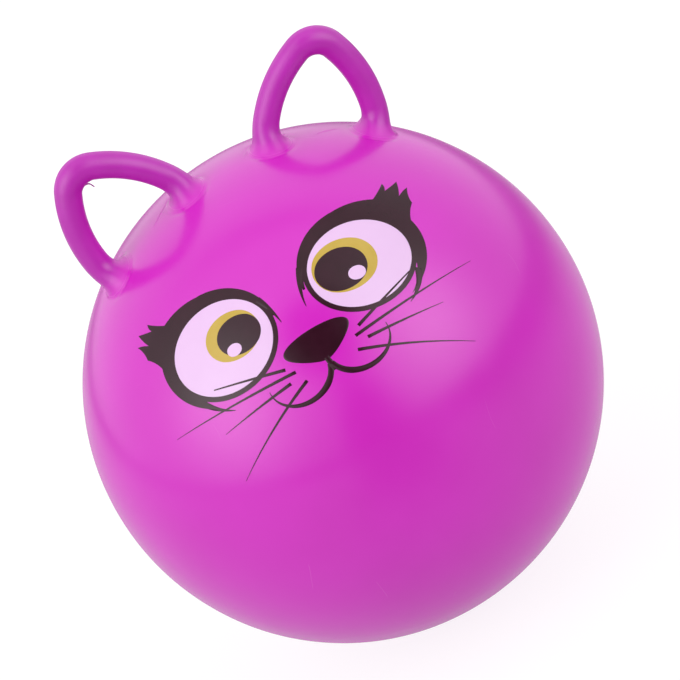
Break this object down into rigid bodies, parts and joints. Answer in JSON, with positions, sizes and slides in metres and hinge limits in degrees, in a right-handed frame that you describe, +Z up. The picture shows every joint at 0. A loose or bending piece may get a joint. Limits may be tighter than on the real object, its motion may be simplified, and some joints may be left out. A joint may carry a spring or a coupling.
{
  "type": "hopper ball",
  "caption": "Hollow inflated ball to sit and bounce on, with cat-ear hoop handles, a printed cat's face and an air valve closed by a pull-out plug",
  "frame": {"origin": "middle of the flat patch that the ball settles on", "axes": "+Z up between the ears, -Y out through the side with the printed face, +X towards the right ear as the picture shows it"},
  "size_m": [0.4499, 0.4499, 0.5189],
  "materials": {
    "ball_skin": "magenta semi-gloss soft vinyl, a little paler towards its rims",
    "ear_handle": "magenta semi-gloss soft vinyl with a thin moulding line",
    "valve_seat": "magenta soft vinyl welded to the skin",
    "valve_plug": "off-white soft plastic",
    "black_ink": "warm black printing ink with a soft sheen",
    "lilac_ink": "pale lilac printing ink",
    "gold_ink": "ochre yellow printing ink"
  },
  "bodies": {
    "ball": {"ball_skin": "ball_skin", "left_ear_handle": "ear_handle", "right_ear_handle": "ear_handle", "valve_seat": "valve_seat", "print_black_ink": "black_ink", "print_lilac_ink": "lilac_ink", "print_gold_ink": "gold_ink"},
    "plug": {"valve_plug": "valve_plug"}
  },
  "joints": [
    {"name": "plug_pull", "type": "slide", "parent": "ball", "child": "plug", "axis": [0, 0.9659, -0.2588], "range_m": [0, 0.017]}
  ]
}
